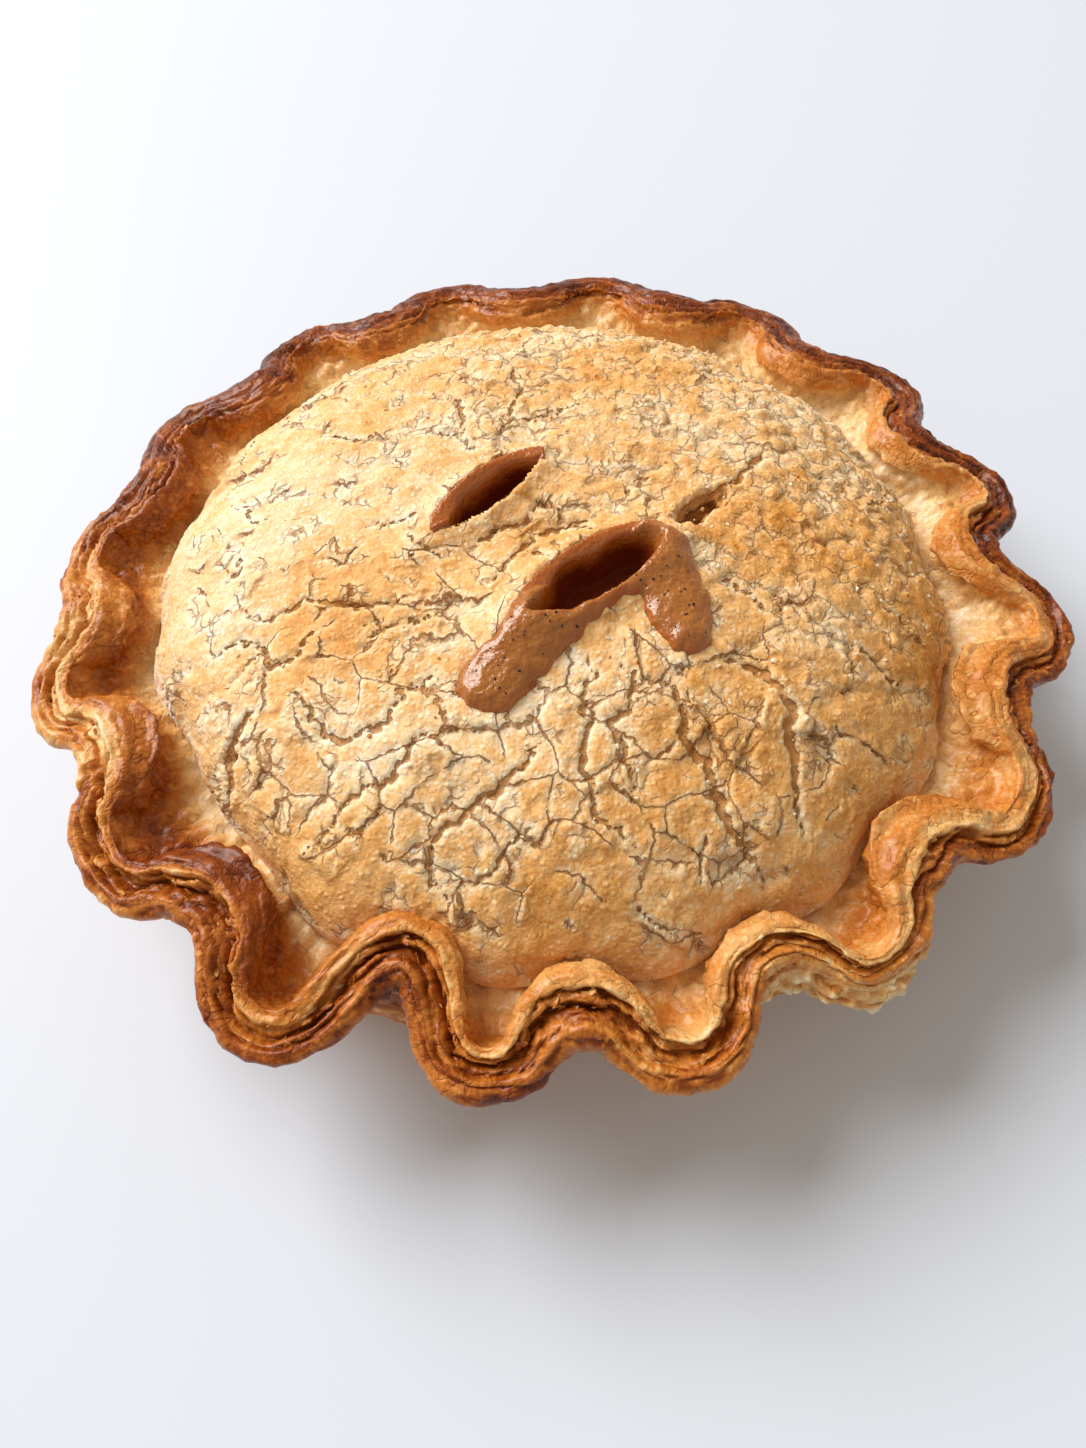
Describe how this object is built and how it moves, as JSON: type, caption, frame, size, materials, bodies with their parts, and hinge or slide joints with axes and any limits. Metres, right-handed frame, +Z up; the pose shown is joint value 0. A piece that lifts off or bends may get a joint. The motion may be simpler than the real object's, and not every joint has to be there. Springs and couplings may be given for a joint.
{
  "type": "goose pie",
  "caption": "Whole baked goose pie: a domed, cracked pastry lid with steam vents and gravy, a deep hand-fluted rim and a tapered pastry case.",
  "frame": {"origin": "centre of the flat underside of the pastry case", "axes": "+Z up through the lid, -Y towards the side that faces the viewer, +X to that viewer's right"},
  "size_m": [0.2325, 0.2279, 0.0701],
  "materials": {
    "pastry": "baked shortcrust pastry, golden brown, matte with a faint egg-wash sheen",
    "gravy": "thick brown gravy, glossy and a little translucent"
  },
  "bodies": {
    "root": {"pastry_crust": "pastry", "gravy_front_vent": "gravy", "gravy_back_vent": "gravy"}
  },
  "joints": []
}
